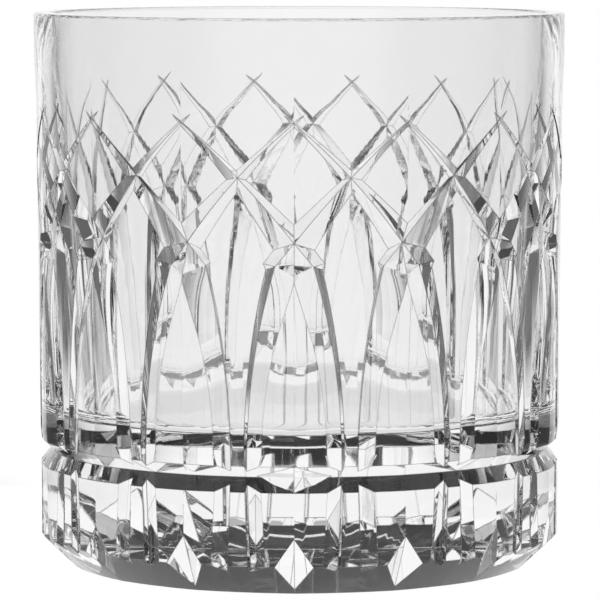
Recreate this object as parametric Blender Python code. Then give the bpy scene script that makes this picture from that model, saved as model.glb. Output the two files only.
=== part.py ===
"""Cut-crystal whiskey tumbler: an open bowl standing on a thick solid foot.

Frame: metres, +Z up, origin at the centre of the resting face under the foot.
The front cut meridian points along -Y. Angles are measured from it, toward +X.
"""

import math

import bmesh
import bpy
from mathutils import Matrix, Vector

MM = 0.001

# Overall size
HEIGHT = 89.2 * MM
RIM_RADIUS = 43.0 * MM
LIP_ROUND = 0.6 * MM
BOWL_LOW_RADIUS = 42.4 * MM
SEGMENTS = 120

# Inside of the bowl
MOUTH_RADIUS = 40.0 * MM
FLOOR_Z = 24.7 * MM
FLOOR_WALL_RADIUS = 35.2 * MM
FLOOR_FILLET = 2.5 * MM

# Waist groove between bowl and foot
GROOVE_TOP_Z = 20.5 * MM
GROOVE_Z = 18.6 * MM
GROOVE_LOW_Z = 16.5 * MM
GROOVE_RADIUS = 40.75 * MM
SPLIT_GAP = 0.3 * MM

# Foot
FOOT_RADIUS = 42.3 * MM
BEVEL_TOP_Z = 4.85 * MM
BASE_RADIUS = 37.5 * MM
BASE_ROUND = 0.4 * MM

# Cut pattern: the same figure repeats round the wall
REPEATS = 15
PITCH = 360.0 / REPEATS

# Crossing lattice, heights at which mirrored cuts meet
TAIL_ANGLE = 2.7
FIRST_CROSS_Z = 73.2 * MM
FALL_PER_DEGREE = 0.6292 * MM
FALL_GROWTH = 0.0059 * MM
TAIL_Z = 75.2 * MM
DEPTH_RATE = 0.069
UPPER_FLANK = 1.5
LOWER_FLANK = 2.45

# Arch legs, from the shoulder under the last crossing down to the foot
SHOULDER_Z = 51.15 * MM
SHOULDER_ANGLE = 4.2
LEG_FOOT_Z = 20.0 * MM
LEG_FOOT_ANGLE = 10.25
LEG_CURVE = 2.1
LEG_DEPTH = 0.88 * MM
LEG_EXTRA_DEPTH = 0.62 * MM
LEG_INNER_FLANK = 3.85
LEG_OUTER_WIDTH = 0.3 * MM
LEG_OUTER_EXTRA = 0.9 * MM
SHOULDER_WIDTH = 1.9 * MM
FOOT_FLUTE_ANGLE = 9.5
CUT_LIFT = 0.5 * MM
SECOND_PASS_DEPTH = 0.03 * MM

# Notches across the lower corner of the foot
NOTCH_TOP_Z = 9.25 * MM
NOTCH_BASE_RADIUS = 37.7 * MM
NOTCH_FLANK = math.tan(math.radians(60.0))


def clear_scene():
    for obj in list(bpy.data.objects):
        bpy.data.objects.remove(obj, do_unlink=True)


def crystal(name, colour):
    mat = bpy.data.materials.new(name)
    mat.use_nodes = True
    shader = mat.node_tree.nodes["Principled BSDF"]
    shader.inputs["Base Color"].default_value = colour
    shader.inputs["Roughness"].default_value = 0.02
    shader.inputs["Metallic"].default_value = 0.0
    shader.inputs["IOR"].default_value = 1.54
    shader.inputs["Transmission Weight"].default_value = 1.0
    return mat


def arc(centre_r, centre_z, radius, start, end, steps):
    """Points of a fillet in the (radius, z) half plane, angles in degrees."""
    points = []
    for i in range(steps + 1):
        a = math.radians(start + (end - start) * i / steps)
        points.append((centre_r + radius * math.cos(a), centre_z + radius * math.sin(a)))
    return points


def turned(name, profile):
    """A closed solid from a profile that runs from the axis round to the axis."""
    bm = bmesh.new()
    half = math.pi / SEGMENTS
    verts = [bm.verts.new((r * math.cos(half), r * math.sin(half), z)) for r, z in profile]
    edges = [bm.edges.new(pair) for pair in zip(verts, verts[1:])]
    bmesh.ops.spin(
        bm,
        geom=verts + edges,
        cent=(0.0, 0.0, 0.0),
        axis=(0.0, 0.0, 1.0),
        angle=2.0 * math.pi,
        steps=SEGMENTS,
        use_merge=True,
    )
    bmesh.ops.remove_doubles(bm, verts=bm.verts[:], dist=1e-6)
    bmesh.ops.recalc_face_normals(bm, faces=bm.faces[:])
    mesh = bpy.data.meshes.new(name)
    bm.to_mesh(mesh)
    bm.free()
    obj = bpy.data.objects.new(name, mesh)
    bpy.context.scene.collection.objects.link(obj)
    return obj


def bowl_profile():
    """From the middle of the bowl's underside, up the outside, over the lip, to the floor."""
    points = [(0.0, GROOVE_Z + SPLIT_GAP / 2)]
    points.append((GROOVE_RADIUS, GROOVE_Z + SPLIT_GAP / 2))
    points.append((BOWL_LOW_RADIUS, GROOVE_TOP_Z))
    points += arc(RIM_RADIUS - LIP_ROUND, HEIGHT - LIP_ROUND, LIP_ROUND, 0, 90, 2)
    points += arc(MOUTH_RADIUS + LIP_ROUND, HEIGHT - LIP_ROUND, LIP_ROUND, 90, 180, 2)
    lean = math.degrees(math.atan2(MOUTH_RADIUS - FLOOR_WALL_RADIUS, HEIGHT - FLOOR_Z))
    centre = FLOOR_WALL_RADIUS - FLOOR_FILLET
    points += arc(centre, FLOOR_Z + FLOOR_FILLET, FLOOR_FILLET, -lean, -90, 3)
    points.append((0.0, FLOOR_Z))
    return points


def foot_profile():
    """From the middle of the resting face out, up the side, and in under the bowl."""
    points = [(0.0, 0.0), (BASE_RADIUS - BASE_ROUND, 0.0)]
    points.append((BASE_RADIUS + 0.7 * BASE_ROUND, 0.7 * BASE_ROUND))
    points.append((FOOT_RADIUS, BEVEL_TOP_Z))
    points.append((FOOT_RADIUS, GROOVE_LOW_Z))
    points.append((GROOVE_RADIUS, GROOVE_Z - SPLIT_GAP / 2))
    points.append((0.0, GROOVE_Z - SPLIT_GAP / 2))
    return points


def wall_radius(z):
    """Outer radius of the uncut wall at height z."""
    if z <= GROOVE_LOW_Z:
        return FOOT_RADIUS
    t = (z - GROOVE_TOP_Z) / (HEIGHT - LIP_ROUND - GROOVE_TOP_Z)
    return BOWL_LOW_RADIUS + (RIM_RADIUS - BOWL_LOW_RADIUS) * t


def lattice_z(angle):
    """Height of a cut's valley, angle in degrees past its first crossing."""
    return FIRST_CROSS_Z - FALL_PER_DEGREE * angle - FALL_GROWTH * angle * angle


def lattice_stations(steps):
    """(angle from the arch meridian, z, depth, outer slope, inner slope) down to the last crossing."""
    stations = []
    for i in range(steps + 1):
        travelled = -TAIL_ANGLE + (PITCH + TAIL_ANGLE) * i / steps
        z = lattice_z(travelled)
        depth = DEPTH_RATE * (TAIL_Z - z)
        stations.append((travelled - PITCH, z, depth, UPPER_FLANK, LOWER_FLANK))
    return stations


def leg_stations(steps):
    """The same, from the shoulder down the arch leg and on down the foot."""
    stations = []
    span = SHOULDER_Z - LEG_FOOT_Z
    for i in range(steps + 1):
        z = SHOULDER_Z - span * i / steps
        rise = (z - LEG_FOOT_Z) / span
        angle = LEG_FOOT_ANGLE - (LEG_FOOT_ANGLE - SHOULDER_ANGLE) * rise**LEG_CURVE
        depth = LEG_DEPTH + LEG_EXTRA_DEPTH * min(1.0, rise * 1.2) ** 2.6
        outer = (LEG_OUTER_WIDTH + LEG_OUTER_EXTRA * rise**1.6) / depth
        inner = LEG_INNER_FLANK + (LOWER_FLANK - LEG_INNER_FLANK) * max(0.0, 5.0 * rise - 4.0)
        if i == 0:
            outer = SHOULDER_WIDTH / depth
        stations.append((angle, z, depth, outer, inner))
    low = stations[-1]
    for z in (BEVEL_TOP_Z, -1.0 * MM):
        stations.append((FOOT_FLUTE_ANGLE, z, LEG_DEPTH, low[3], low[4]))
    return stations


def on_wall(angle, radius, z):
    a = math.radians(angle)
    return Vector((radius * math.sin(a), -radius * math.cos(a), z))


def cut_sections(stations, extra=0.0):
    """Three corners at each station: valley, outer top edge, inner top edge."""
    flat = [(math.radians(s[0]) * RIM_RADIUS, s[1]) for s in stations]
    sections = []
    for i, (angle, z, depth, outer, inner) in enumerate(stations):
        before = flat[max(i - 1, 0)]
        after = flat[min(i + 1, len(flat) - 1)]
        along = Vector((after[0] - before[0], after[1] - before[1])).normalized()
        around = Vector((math.cos(math.radians(angle)), math.sin(math.radians(angle)), 0.0))
        side = around * -along.y + Vector((0.0, 0.0, along.x))
        out = on_wall(angle, 1.0, 0.0)
        valley = on_wall(angle, wall_radius(z) - depth - extra, z)
        reach = depth + CUT_LIFT
        sections.append((valley, valley + reach * (out + side * outer), valley + reach * (out - side * inner)))
    return sections


def add_loft(bm, sections, turn):
    """One closed wedge-shaped body through the sections, turned round the axis."""
    spin = Matrix.Rotation(math.radians(turn), 3, "Z")
    rings = [[bm.verts.new(spin @ p) for p in section] for section in sections]
    for low, high in zip(rings, rings[1:]):
        for j in range(3):
            k = (j + 1) % 3
            bm.faces.new((low[j], low[k], high[k]))
            bm.faces.new((low[j], high[k], high[j]))
    bm.faces.new(rings[0][::-1])
    bm.faces.new(rings[-1])


def cutter_object(name, bm):
    bmesh.ops.recalc_face_normals(bm, faces=bm.faces[:])
    mesh = bpy.data.meshes.new(name)
    bm.to_mesh(mesh)
    bm.free()
    obj = bpy.data.objects.new(name, mesh)
    obj.hide_render = True
    obj.display_type = "WIRE"
    bpy.context.scene.collection.objects.link(obj)
    return obj


def lattice_cutters():
    """The right-hand family of cuts, and its mirror image as a slightly deeper second pass."""
    stations = lattice_stations(7) + leg_stations(7)
    sections = cut_sections(stations)
    flip = Matrix.Scale(-1.0, 3, Vector((1.0, 0.0, 0.0)))
    mirrored = [tuple(flip @ p for p in section) for section in cut_sections(stations, SECOND_PASS_DEPTH)]
    cutters = []
    for name, shape in (("cuts_right", sections), ("cuts_left", mirrored)):
        bm = bmesh.new()
        for k in range(REPEATS):
            add_loft(bm, shape, k * PITCH)
        cutters.append(cutter_object(name, bm))
    return cutters


def notch_cutter():
    """V notches across the corner between the foot's side and its bevel."""
    top = on_wall(0.0, FOOT_RADIUS, NOTCH_TOP_Z)
    low = on_wall(0.0, NOTCH_BASE_RADIUS, 0.0)
    along = (low - top).normalized()
    side = Vector((1.0, 0.0, 0.0))
    out = side.cross(along).normalized()
    if out.y > 0.0:
        out.negate()
    depth = 4.0 * MM
    sections = []
    for centre in (top - along * 4.0 * MM, low + along * 4.0 * MM):
        left = centre + depth * (out - side * NOTCH_FLANK)
        right = centre + depth * (out + side * NOTCH_FLANK)
        sections.append((centre, left, right))
    bm = bmesh.new()
    for k in range(REPEATS):
        add_loft(bm, sections, k * PITCH)
    return cutter_object("corner_notches", bm)


def cut(obj, cutters):
    for cutter in cutters:
        mod = obj.modifiers.new(cutter.name, "BOOLEAN")
        mod.operation = "DIFFERENCE"
        mod.solver = "EXACT"
        mod.object = cutter


def finish(obj, mat):
    obj.data.materials.append(mat)
    obj.data.shade_smooth()
    obj.data.set_sharp_from_angle(angle=math.radians(9.0))


clear_scene()

tumbler = bpy.data.objects.new("tumbler", None)
bpy.context.scene.collection.objects.link(tumbler)

cuts = lattice_cutters()
notches = notch_cutter()

bowl = turned("bowl", bowl_profile())
finish(bowl, crystal("bowl_crystal", (0.97, 0.98, 0.98, 1.0)))
cut(bowl, cuts)

foot = turned("foot", foot_profile())
finish(foot, crystal("foot_crystal", (0.95, 0.97, 0.97, 1.0)))
cut(foot, cuts + [notches])

for piece in (bowl, foot):
    piece.parent = tumbler
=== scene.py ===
"""Looks for the cut-crystal whiskey tumbler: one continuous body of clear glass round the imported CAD."""

import math

import bmesh
import bpy
from mathutils import Matrix, Vector


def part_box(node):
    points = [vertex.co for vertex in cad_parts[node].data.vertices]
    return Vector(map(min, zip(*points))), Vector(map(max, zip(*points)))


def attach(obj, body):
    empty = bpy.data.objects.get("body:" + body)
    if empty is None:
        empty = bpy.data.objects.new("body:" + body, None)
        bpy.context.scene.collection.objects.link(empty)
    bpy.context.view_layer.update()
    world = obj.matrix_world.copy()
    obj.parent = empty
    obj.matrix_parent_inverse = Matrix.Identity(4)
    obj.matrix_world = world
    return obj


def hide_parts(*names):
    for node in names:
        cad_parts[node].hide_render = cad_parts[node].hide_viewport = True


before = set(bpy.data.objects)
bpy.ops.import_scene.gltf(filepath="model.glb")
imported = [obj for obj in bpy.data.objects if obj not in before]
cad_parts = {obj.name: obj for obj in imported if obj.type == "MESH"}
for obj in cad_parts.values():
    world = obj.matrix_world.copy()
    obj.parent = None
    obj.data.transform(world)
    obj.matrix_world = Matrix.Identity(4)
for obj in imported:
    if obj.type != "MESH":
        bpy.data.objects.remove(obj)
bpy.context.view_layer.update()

MM = 0.001

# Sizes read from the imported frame; the wall stays a hair inside the CAD
WITHIN_CAD = 0.01 * MM
foot_low, foot_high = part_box("foot")
bowl_low, bowl_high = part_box("bowl")
HEIGHT = bowl_high[2]
RIM_RADIUS = (bowl_high[0] - bowl_low[0]) / 2 - WITHIN_CAD
WAIST_Z = (foot_high[2] + bowl_low[2]) / 2

# Turned profile, from the rim down to the base
LIP_ROUND = 0.55 * MM
BOWL_LOW_RADIUS = RIM_RADIUS - 0.6 * MM
MOUTH_RADIUS = RIM_RADIUS - 3.0 * MM
FLOOR_Z = 24.7 * MM
FLOOR_WALL_RADIUS = 35.2 * MM
FLOOR_FILLET = 2.5 * MM
GROOVE_TOP_Z = WAIST_Z + 1.8 * MM
GROOVE_LOW_Z = WAIST_Z - 2.2 * MM
HEEL_Z = WAIST_Z + 3.6 * MM
HEEL_DRAFT = 0.19 * MM
GROOVE_RADIUS = RIM_RADIUS - 2.4 * MM
FOOT_RADIUS = RIM_RADIUS - 0.7 * MM
BEVEL_TOP_Z = 4.85 * MM
BASE_RADIUS = RIM_RADIUS - 5.5 * MM
BASE_ROUND = 0.4 * MM
SEGMENTS = 360

# Fifteen slightly flattened panels round the body, which meet in a crease on each meridian
PANEL_SAG = 0.236 * MM
PANEL_LOW_Z = 75.0 * MM
PANEL_HIGH_Z = 82.0 * MM
PANEL_STEPS = 5

# Cut pattern: angles in degrees round the wall, depths and widths of the wheel's section
REPEATS = 15
PITCH = 360.0 / REPEATS
TAIL_ANGLE = 2.7
FIRST_CROSS_Z = 73.2 * MM
FALL_PER_DEGREE = 0.6292 * MM
FALL_GROWTH = 0.0059 * MM
TAIL_Z = 75.2 * MM
DEPTH_RATE = 0.1
UPPER_FLANK = 1.03
LOWER_FLANK = 1.69
SHOULDER_Z = 51.15 * MM
SHOULDER_ANGLE = 4.2
SHOULDER_SLANT = 22.0
SHOULDER_FADE = 3.5
LEG_FOOT_Z = 20.0 * MM
LEG_FOOT_ANGLE = 10.25
LEG_CURVE = 2.1
LEG_DEPTH = 1.15 * MM
LEG_EXTRA_DEPTH = 1.1 * MM
LEG_DEEPENING = 3.3
LEG_INNER_FLANK = 2.8
LEG_NARROWING = 4.0
LEG_OUTER_WIDTH = 0.3 * MM
LEG_OUTER_EXTRA = 0.9 * MM
SHOULDER_WIDTH = 1.9 * MM
FOOT_FLUTE_ANGLE = 9.5
CUT_LIFT = 0.5 * MM
NOTCH_TOP_Z = 9.25 * MM
NOTCH_BASE_RADIUS = 37.7 * MM
NOTCH_FLANK = math.tan(math.radians(60.0))
NOTCH_DEPTH = 4.0 * MM
NOTCH_OVERRUN = 4.0 * MM
LATTICE_STEPS = 30
LEG_STEPS = 36
MIRROR_CLEARANCE = 0.01 * MM

# The lozenge in the waist groove
BRIDGE_ANGLE = 8.2
BRIDGE_RADIUS = RIM_RADIUS - 0.95 * MM
BRIDGE_RISE = 0.2 * MM
BRIDGE_LAP = 0.35 * MM

# Polished edges: how round they are, and how much painted shade darkens the glass colour along them
SHARP_ANGLE = 11.0
EDGE_SHADE_FULL = 0.97
EDGE_SHADE_NONE = 0.996
EDGE_SHADE_LEVEL = 0.02
EDGE_ROUND = 0.22 * MM
GLASS_IOR = 1.54

# Studio: sizes in metres, directions in degrees from straight behind the glass
FLOOR_RADIUS = 2.5
AIR_GAP = 0.03 * MM
# Painted shadow on the floor under the glass: its glow is dimmed within these radii, to this level
CONTACT_SHADOW_START = 0.034
CONTACT_SHADOW_END = 0.0375
CONTACT_SHADOW_LEVEL = 0.8
# Painted light on the floor: an even pool of light round the glass, fading out between these radii
LIGHT_POOL_START = 0.1
LIGHT_POOL_END = 0.14
BACKDROP_EDGE = 28.0
SIDE_START = 58.0
SIDE_LIGHT = 0.14
SIDE_END = 120.0
FRONT_EDGE = 150.0
FRONT_LIGHT = 0.5
SCREEN_TOP = 0.28
SCREEN_TOP_SOFT = 0.08
CEILING = 0.02

# Camera
CAMERA_REACH = 0.6893
CAMERA_HEIGHT = 0.1057
CAMERA_TURN = 1.1
CAMERA_AIM = 1.0906
CAMERA_TILT = 5.251
CAMERA_LENS = 255.06
CAMERA_SENSOR = 36.0


def arc(centre_r, centre_z, radius, start, end, steps):
    points = []
    for i in range(steps + 1):
        a = math.radians(start + (end - start) * i / steps)
        points.append((centre_r + radius * math.cos(a), centre_z + radius * math.sin(a)))
    return points


def tumbler_profile():
    points = [(0.0, 0.0)]
    points += arc(BASE_RADIUS - BASE_ROUND, BASE_ROUND, BASE_ROUND, -90, -45, 3)
    points.append((FOOT_RADIUS, BEVEL_TOP_Z))
    points.append((FOOT_RADIUS, GROOVE_LOW_Z))
    points.append((GROOVE_RADIUS, WAIST_Z))
    points.append((BOWL_LOW_RADIUS - HEEL_DRAFT, GROOVE_TOP_Z))
    points.append((wall_radius(HEEL_Z), HEEL_Z))
    for i in range(PANEL_STEPS + 1):
        z = PANEL_LOW_Z + (PANEL_HIGH_Z - PANEL_LOW_Z) * i / PANEL_STEPS
        points.append((wall_radius(z), z))
    points += arc(RIM_RADIUS - LIP_ROUND, HEIGHT - LIP_ROUND, LIP_ROUND, 0, 90, 6)
    points += arc(MOUTH_RADIUS + LIP_ROUND, HEIGHT - LIP_ROUND, LIP_ROUND, 90, 180, 6)
    lean = math.degrees(math.atan2(MOUTH_RADIUS - FLOOR_WALL_RADIUS, HEIGHT - FLOOR_Z))
    fillet_radius = FLOOR_WALL_RADIUS - FLOOR_FILLET
    points += arc(fillet_radius, FLOOR_Z + FLOOR_FILLET, FLOOR_FILLET, -lean, -90, 8)
    points.append((0.0, FLOOR_Z))
    return points


def turned(name, profile):
    bm = bmesh.new()
    verts = [bm.verts.new((0.0, -r, z)) for r, z in profile]
    edges = [bm.edges.new(pair) for pair in zip(verts, verts[1:])]
    bmesh.ops.spin(
        bm,
        geom=verts + edges,
        cent=(0, 0, 0),
        axis=(0, 0, 1),
        angle=2 * math.pi,
        steps=SEGMENTS,
        use_merge=True,
    )
    bmesh.ops.remove_doubles(bm, verts=bm.verts[:], dist=1e-6)
    bmesh.ops.recalc_face_normals(bm, faces=bm.faces[:])
    return object_from(name, bm)


def grind_panels(body):
    """Flattens the round outer wall between the meridians; the panels fade out below the rim."""
    for vert in body.data.vertices:
        x, y, z = vert.co
        radius = math.hypot(x, y)
        inside = z > WAIST_Z and radius < wall_radius(z) - 0.5 * MM
        if inside or radius < BASE_RADIUS - BASE_ROUND or z > PANEL_HIGH_Z:
            continue
        fade = min((PANEL_HIGH_Z - z) / (PANEL_HIGH_Z - PANEL_LOW_Z), 1.0)
        across = math.degrees(math.atan2(x, -y)) % PITCH / (PITCH / 2) - 1.0
        shrink = 1.0 - PANEL_SAG * (1.0 - across * across) * fade / radius
        vert.co.x, vert.co.y = x * shrink, y * shrink


def object_from(name, bm):
    """A scene object made from a bmesh, which is freed."""
    mesh = bpy.data.meshes.new(name)
    bm.to_mesh(mesh)
    bm.free()
    obj = bpy.data.objects.new(name, mesh)
    bpy.context.scene.collection.objects.link(obj)
    return obj


def wall_radius(z):
    """The outer wall before anything is cut into it."""
    if z <= GROOVE_LOW_Z:
        return FOOT_RADIUS
    t = (z - GROOVE_TOP_Z) / (HEIGHT - LIP_ROUND - GROOVE_TOP_Z)
    return BOWL_LOW_RADIUS + (RIM_RADIUS - BOWL_LOW_RADIUS) * t


def lattice_z(angle):
    """The height of a diagonal cut, by the angle that it has travelled from its first crossing."""
    return FIRST_CROSS_Z - FALL_PER_DEGREE * angle - FALL_GROWTH * angle * angle


def lattice_stations(steps):
    """Wheel positions down one diagonal: angle, height, depth, outer and inner flank, slant."""
    stations = []
    for i in range(steps + 1):
        travelled = -TAIL_ANGLE + (PITCH + TAIL_ANGLE) * i / steps
        z = lattice_z(travelled)
        fall = (FALL_PER_DEGREE + 2 * FALL_GROWTH * travelled) / (math.radians(1.0) * RIM_RADIUS)
        slant = 90.0 - math.degrees(math.atan(fall))
        depth = DEPTH_RATE * (TAIL_Z - z)
        stations.append((travelled - PITCH, z, depth, UPPER_FLANK, LOWER_FLANK, slant))
    return stations


def leg_stations(steps):
    """Wheel positions from the shoulder down the arch leg, and on over the foot."""
    stations = []
    span = SHOULDER_Z - LEG_FOOT_Z
    for i in range(steps + 1):
        rise = 1.0 - i / steps
        z = LEG_FOOT_Z + span * rise
        angle = LEG_FOOT_ANGLE - (LEG_FOOT_ANGLE - SHOULDER_ANGLE) * rise**LEG_CURVE
        depth = LEG_DEPTH + LEG_EXTRA_DEPTH * rise**LEG_DEEPENING
        outer = (LEG_OUTER_WIDTH + LEG_OUTER_EXTRA * rise**1.6) / depth
        slant = SHOULDER_SLANT * rise**SHOULDER_FADE
        inner = LEG_INNER_FLANK + (LOWER_FLANK - LEG_INNER_FLANK) * rise**LEG_NARROWING
        if i == 0:
            outer = SHOULDER_WIDTH / depth
        stations.append((angle, z, depth, outer, inner, slant))
    low = stations[-1]
    for z in (BEVEL_TOP_Z, -1.0 * MM):
        stations.append((FOOT_FLUTE_ANGLE, z, LEG_DEPTH, low[3], LEG_INNER_FLANK, 0.0))
    return stations


def on_wall(angle, radius, z):
    """The point at an angle from the front meridian."""
    a = math.radians(angle)
    return Vector((radius * math.sin(a), -radius * math.cos(a), z))


def cut_sections(stations, extra=0.0):
    """Three-sided wheel sections: the valley, then the outer and the inner edge clear of the wall."""
    sections = []
    for angle, z, depth, outer, inner, slant in stations:
        turn, lean = math.radians(angle), math.radians(slant)
        side = Vector((math.cos(turn), math.sin(turn), 0.0)) * math.cos(lean)
        side.z = math.sin(lean)
        out = on_wall(angle, 1.0, 0.0)
        valley = on_wall(angle, wall_radius(z) - depth - extra, z)
        reach = depth + CUT_LIFT
        outer_edge = valley + reach * (out + side * outer)
        inner_edge = valley + reach * (out - side * inner)
        sections.append((valley, outer_edge, inner_edge))
    return sections


def add_loft(bm, sections, turn):
    """A closed solid through three-sided sections, turned round the axis."""
    spin = Matrix.Rotation(math.radians(turn), 3, "Z")
    rings = [[bm.verts.new(spin @ p) for p in section] for section in sections]
    for low, high in zip(rings, rings[1:]):
        for j in range(3):
            k = (j + 1) % 3
            bm.faces.new((low[j], low[k], high[k]))
            bm.faces.new((low[j], high[k], high[j]))
    bm.faces.new(rings[0][::-1])
    bm.faces.new(rings[-1])


def lattice_cutters():
    """All right-hand cuts in one object, and their mirror images in another."""
    stations = lattice_stations(LATTICE_STEPS) + leg_stations(LEG_STEPS)
    flip = Matrix.Scale(-1.0, 3, Vector((1.0, 0.0, 0.0)))
    right = cut_sections(stations)
    left = [tuple(flip @ p for p in section) for section in cut_sections(stations, MIRROR_CLEARANCE)]
    cutters = []
    for name, shape in (("cuts_right", right), ("cuts_left", left)):
        bm = bmesh.new()
        for k in range(REPEATS):
            add_loft(bm, shape, k * PITCH)
        bmesh.ops.recalc_face_normals(bm, faces=bm.faces[:])
        cutters.append(object_from(name, bm))
    return cutters


def notch_cutter():
    """The V that leaves a diamond on the foot bevel under each meridian."""
    top = on_wall(0.0, FOOT_RADIUS, NOTCH_TOP_Z)
    low = on_wall(0.0, NOTCH_BASE_RADIUS, 0.0)
    along = (low - top).normalized()
    side = Vector((1.0, 0.0, 0.0))
    out = side.cross(along).normalized()
    if out.y > 0.0:
        out.negate()
    sections = []
    for centre in (top - along * NOTCH_OVERRUN, low + along * NOTCH_OVERRUN):
        left = centre + NOTCH_DEPTH * (out - side * NOTCH_FLANK)
        right = centre + NOTCH_DEPTH * (out + side * NOTCH_FLANK)
        sections.append((centre, left, right))
    bm = bmesh.new()
    for k in range(REPEATS):
        add_loft(bm, sections, k * PITCH)
    bmesh.ops.recalc_face_normals(bm, faces=bm.faces[:])
    return object_from("corner_notches", bm)


def waist_bridge():
    """The four-faced lozenge on the front meridian where the glass fills the waist groove."""
    inside = Vector((0.0, -BASE_RADIUS, WAIST_Z))
    middle = on_wall(0.0, BRIDGE_RADIUS, WAIST_Z + BRIDGE_RISE)
    top = on_wall(0.0, BOWL_LOW_RADIUS, GROOVE_TOP_Z + BRIDGE_LAP)
    low = on_wall(0.0, FOOT_RADIUS, GROOVE_LOW_Z - BRIDGE_LAP)
    tips = [on_wall(side * BRIDGE_ANGLE, GROOVE_RADIUS, WAIST_Z + BRIDGE_RISE) for side in (-1.0, 1.0)]
    bm = bmesh.new()
    inside, middle, top, low, left, right = [bm.verts.new(p) for p in (inside, middle, top, low, *tips)]
    for first, second in ((top, left), (left, low), (low, right), (right, top)):
        bm.faces.new((middle, first, second))
        bm.faces.new((inside, second, first))
    bmesh.ops.recalc_face_normals(bm, faces=bm.faces[:])
    return object_from("waist_bridge", bm)


def boolean(obj, other, operation):
    """Adds an exact boolean with another object."""
    mod = obj.modifiers.new(other.name, "BOOLEAN")
    mod.operation = operation
    mod.solver = "EXACT"
    mod.object = other


def applied(obj):
    """The object with its modifiers made into real mesh."""
    graph = bpy.context.evaluated_depsgraph_get()
    mesh = bpy.data.meshes.new_from_object(obj.evaluated_get(graph))
    obj.modifiers.clear()
    obj.data = mesh
    return obj


def mark_creases(mesh):
    """Keeps the panels' meeting lines sharp."""
    def on_crease(vert):
        around = math.degrees(math.atan2(vert.co.x, -vert.co.y)) / PITCH
        outside = math.hypot(vert.co.x, vert.co.y) > MOUTH_RADIUS - 2 * MM
        return outside and abs(around - round(around)) < 0.001

    for edge in mesh.edges:
        ends = [mesh.vertices[i] for i in edge.vertices]
        if all(on_crease(vert) and vert.co.z < PANEL_HIGH_Z for vert in ends):
            edge.use_edge_sharp = True


def make_tumbler():
    """Turns the blank, flattens its panels, then grinds every cut into it."""
    body = turned("tumbler_crystal", tumbler_profile())
    grind_panels(body)
    tools = lattice_cutters() + [notch_cutter()]
    bridge = waist_bridge()
    boolean(body, bridge, "UNION")
    for tool in tools:
        boolean(body, tool, "DIFFERENCE")
    applied(body)
    for tool in tools + [bridge]:
        bpy.data.objects.remove(tool, do_unlink=True)
    body.data.shade_smooth()
    body.data.set_sharp_from_angle(angle=math.radians(SHARP_ANGLE))
    mark_creases(body.data)
    return body


def crystal_material():
    """Clear lead glass with faint cords of tint and haze, soft polished edges, and painted shade that
    darkens its colour along every cut edge.
    """
    mat = bpy.data.materials.new("crystal_glass")
    mat.use_nodes = True
    tree = mat.node_tree
    shader = tree.nodes["Principled BSDF"]
    shader.inputs["Transmission Weight"].default_value = 1.0
    shader.inputs["IOR"].default_value = GLASS_IOR
    coords = tree.nodes.new("ShaderNodeTexCoord")
    cloud = tree.nodes.new("ShaderNodeTexNoise")
    cloud.inputs["Scale"].default_value = 22.0
    cloud.inputs["Detail"].default_value = 2.0
    tint = tree.nodes.new("ShaderNodeValToRGB")
    tint.color_ramp.elements[0].color = (0.955, 0.955, 0.955, 1.0)
    tint.color_ramp.elements[1].color = (0.97, 0.97, 0.97, 1.0)
    haze = tree.nodes.new("ShaderNodeMapRange")
    haze.inputs["To Min"].default_value = 0.0
    haze.inputs["To Max"].default_value = 0.012
    tree.links.new(coords.outputs["Object"], cloud.inputs["Vector"])
    tree.links.new(cloud.outputs["Fac"], tint.inputs["Fac"])
    tree.links.new(cloud.outputs["Fac"], haze.inputs["Value"])
    tree.links.new(haze.outputs["Result"], shader.inputs["Roughness"])
    soft = tree.nodes.new("ShaderNodeBevel")
    soft.samples = 4
    soft.inputs["Radius"].default_value = EDGE_ROUND
    tree.links.new(soft.outputs["Normal"], shader.inputs["Normal"])
    # Painted shade: the glass colour is darkened where the rounded normal turns from the surface normal,
    # drawing dark lines along every cut edge
    surface = tree.nodes.new("ShaderNodeNewGeometry")
    agree = tree.nodes.new("ShaderNodeVectorMath")
    agree.operation = "DOT_PRODUCT"
    tree.links.new(soft.outputs["Normal"], agree.inputs[0])
    tree.links.new(surface.outputs["Normal"], agree.inputs[1])
    painted_edge_shade = fade_node(tree, agree.outputs["Value"], EDGE_SHADE_FULL, EDGE_SHADE_NONE, EDGE_SHADE_LEVEL, 1.0)
    dim = tree.nodes.new("ShaderNodeVectorMath")
    dim.operation = "SCALE"
    tree.links.new(tint.outputs["Color"], dim.inputs[0])
    tree.links.new(painted_edge_shade, dim.inputs["Scale"])
    tree.links.new(dim.outputs["Vector"], shader.inputs["Base Color"])
    return mat


def math_node(tree, operation, *values):
    """A maths node whose inputs are numbers or other nodes' outputs."""
    node = tree.nodes.new("ShaderNodeMath")
    node.operation = operation
    for socket, value in zip(node.inputs, values):
        if isinstance(value, (int, float)):
            socket.default_value = value
        else:
            tree.links.new(value, socket)
    return node.outputs["Value"]


def fade_node(tree, value, start, end, low=0.0, high=1.0):
    """A smooth step from one number to another."""
    node = tree.nodes.new("ShaderNodeMapRange")
    node.interpolation_type = "SMOOTHSTEP"
    node.inputs["From Min"].default_value = start
    node.inputs["From Max"].default_value = end
    node.inputs["To Min"].default_value = low
    node.inputs["To Max"].default_value = high
    tree.links.new(value, node.inputs["Value"])
    return node.outputs["Result"]


def room_light(tree, x, y):
    """White behind the glass, dim at the sides and half-lit in front, by direction from the glass."""
    azimuth = math_node(tree, "ABSOLUTE", math_node(tree, "ARCTAN2", x, y))
    backdrop_edge, side_start = math.radians(BACKDROP_EDGE), math.radians(SIDE_START)
    side_end, front_edge = math.radians(SIDE_END), math.radians(FRONT_EDGE)
    behind = fade_node(tree, azimuth, backdrop_edge, side_start, 1.0, SIDE_LIGHT)
    front = fade_node(tree, azimuth, side_end, front_edge, 0.0, FRONT_LIGHT)
    return math_node(tree, "MAXIMUM", behind, front)


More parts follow.
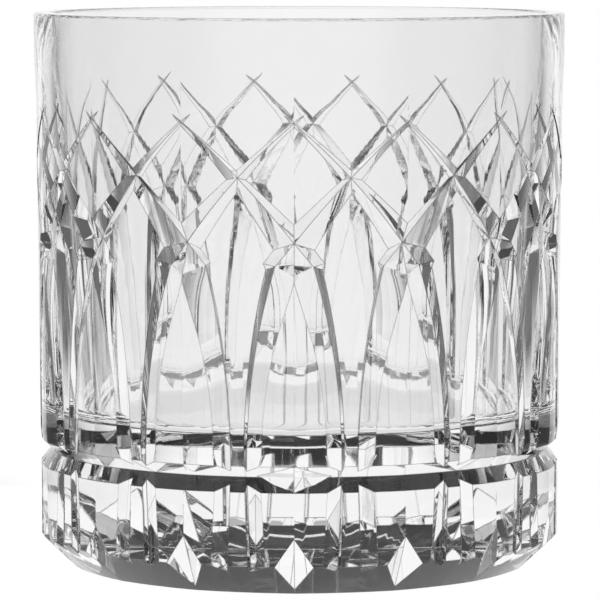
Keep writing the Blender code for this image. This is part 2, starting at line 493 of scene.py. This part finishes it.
def make_floor():
    """A pale table top that glows with painted light: an even pool of light round the glass, the room's
    light painted on by direction farther out, and a painted shadow under the glass.
    """
    bm = bmesh.new()
    bmesh.ops.create_circle(bm, cap_ends=True, segments=96, radius=FLOOR_RADIUS)
    bmesh.ops.translate(bm, verts=bm.verts[:], vec=(0.0, 0.0, -AIR_GAP))
    floor = object_from("floor", bm)
    mat = bpy.data.materials.new("floor_painted_light")
    mat.use_nodes = True
    tree = mat.node_tree
    tree.nodes.clear()
    out = tree.nodes.new("ShaderNodeOutputMaterial")
    glow = tree.nodes.new("ShaderNodeEmission")
    coords = tree.nodes.new("ShaderNodeTexCoord")
    split = tree.nodes.new("ShaderNodeSeparateXYZ")
    reach = tree.nodes.new("ShaderNodeVectorMath")
    reach.operation = "LENGTH"
    tree.links.new(coords.outputs["Object"], split.inputs["Vector"])
    tree.links.new(coords.outputs["Object"], reach.inputs[0])
    distance = reach.outputs["Value"]
    # Painted shadow: the floor's glow is dimmed under the glass
    contact_shadow = fade_node(tree, distance, CONTACT_SHADOW_START, CONTACT_SHADOW_END, CONTACT_SHADOW_LEVEL, 1.0)
    # Painted light: the floor glows evenly round the glass and, farther out, by direction like the room's
    # light
    light_pool = fade_node(tree, distance, LIGHT_POOL_START, LIGHT_POOL_END, 1.0, 0.0)
    room = room_light(tree, split.outputs["X"], split.outputs["Y"])
    painted_floor_light = math_node(tree, "MAXIMUM", light_pool, room)
    tree.links.new(math_node(tree, "MULTIPLY", contact_shadow, painted_floor_light), glow.inputs["Strength"])
    tree.links.new(glow.outputs["Emission"], out.inputs["Surface"])
    floor.data.materials.append(mat)


def make_world():
    """The room round the table: a low white backdrop, dim sides and a dark ceiling."""
    world = bpy.data.worlds.new("studio")
    bpy.context.scene.world = world
    world.use_nodes = True
    tree = world.node_tree
    back = tree.nodes["Background"]
    coords = tree.nodes.new("ShaderNodeTexCoord")
    split = tree.nodes.new("ShaderNodeSeparateXYZ")
    tree.links.new(coords.outputs["Generated"], split.inputs["Vector"])
    screen = room_light(tree, split.outputs["X"], split.outputs["Y"])
    top = SCREEN_TOP + SCREEN_TOP_SOFT
    low = fade_node(tree, split.outputs["Z"], SCREEN_TOP, top, 1.0, 0.0)
    light = math_node(tree, "MAXIMUM", math_node(tree, "MULTIPLY", screen, low), CEILING)
    back.inputs["Color"].default_value = (1.0, 1.0, 1.0, 1.0)
    tree.links.new(light, back.inputs["Strength"])


def make_camera():
    cam = bpy.data.cameras.new("camera")
    obj = bpy.data.objects.new("camera", cam)
    bpy.context.scene.collection.objects.link(obj)
    obj.location = on_wall(CAMERA_TURN, CAMERA_REACH, CAMERA_HEIGHT)
    obj.rotation_euler = (math.radians(90.0 - CAMERA_TILT), 0.0, math.radians(CAMERA_AIM))
    cam.sensor_width = CAMERA_SENSOR
    cam.lens = CAMERA_LENS
    bpy.context.scene.camera = obj


def make_settings():
    """Enough bounces for light to find its way through the thick base."""
    scene = bpy.context.scene
    scene.view_settings.view_transform = "Standard"
    scene.cycles.max_bounces = 32
    scene.cycles.transmission_bounces = 32
    scene.cycles.glossy_bounces = 16


make_settings()
make_camera()
make_world()
make_floor()
tumbler = make_tumbler()
tumbler.data.materials.append(crystal_material())
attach(tumbler, "root")
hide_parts("bowl", "foot")
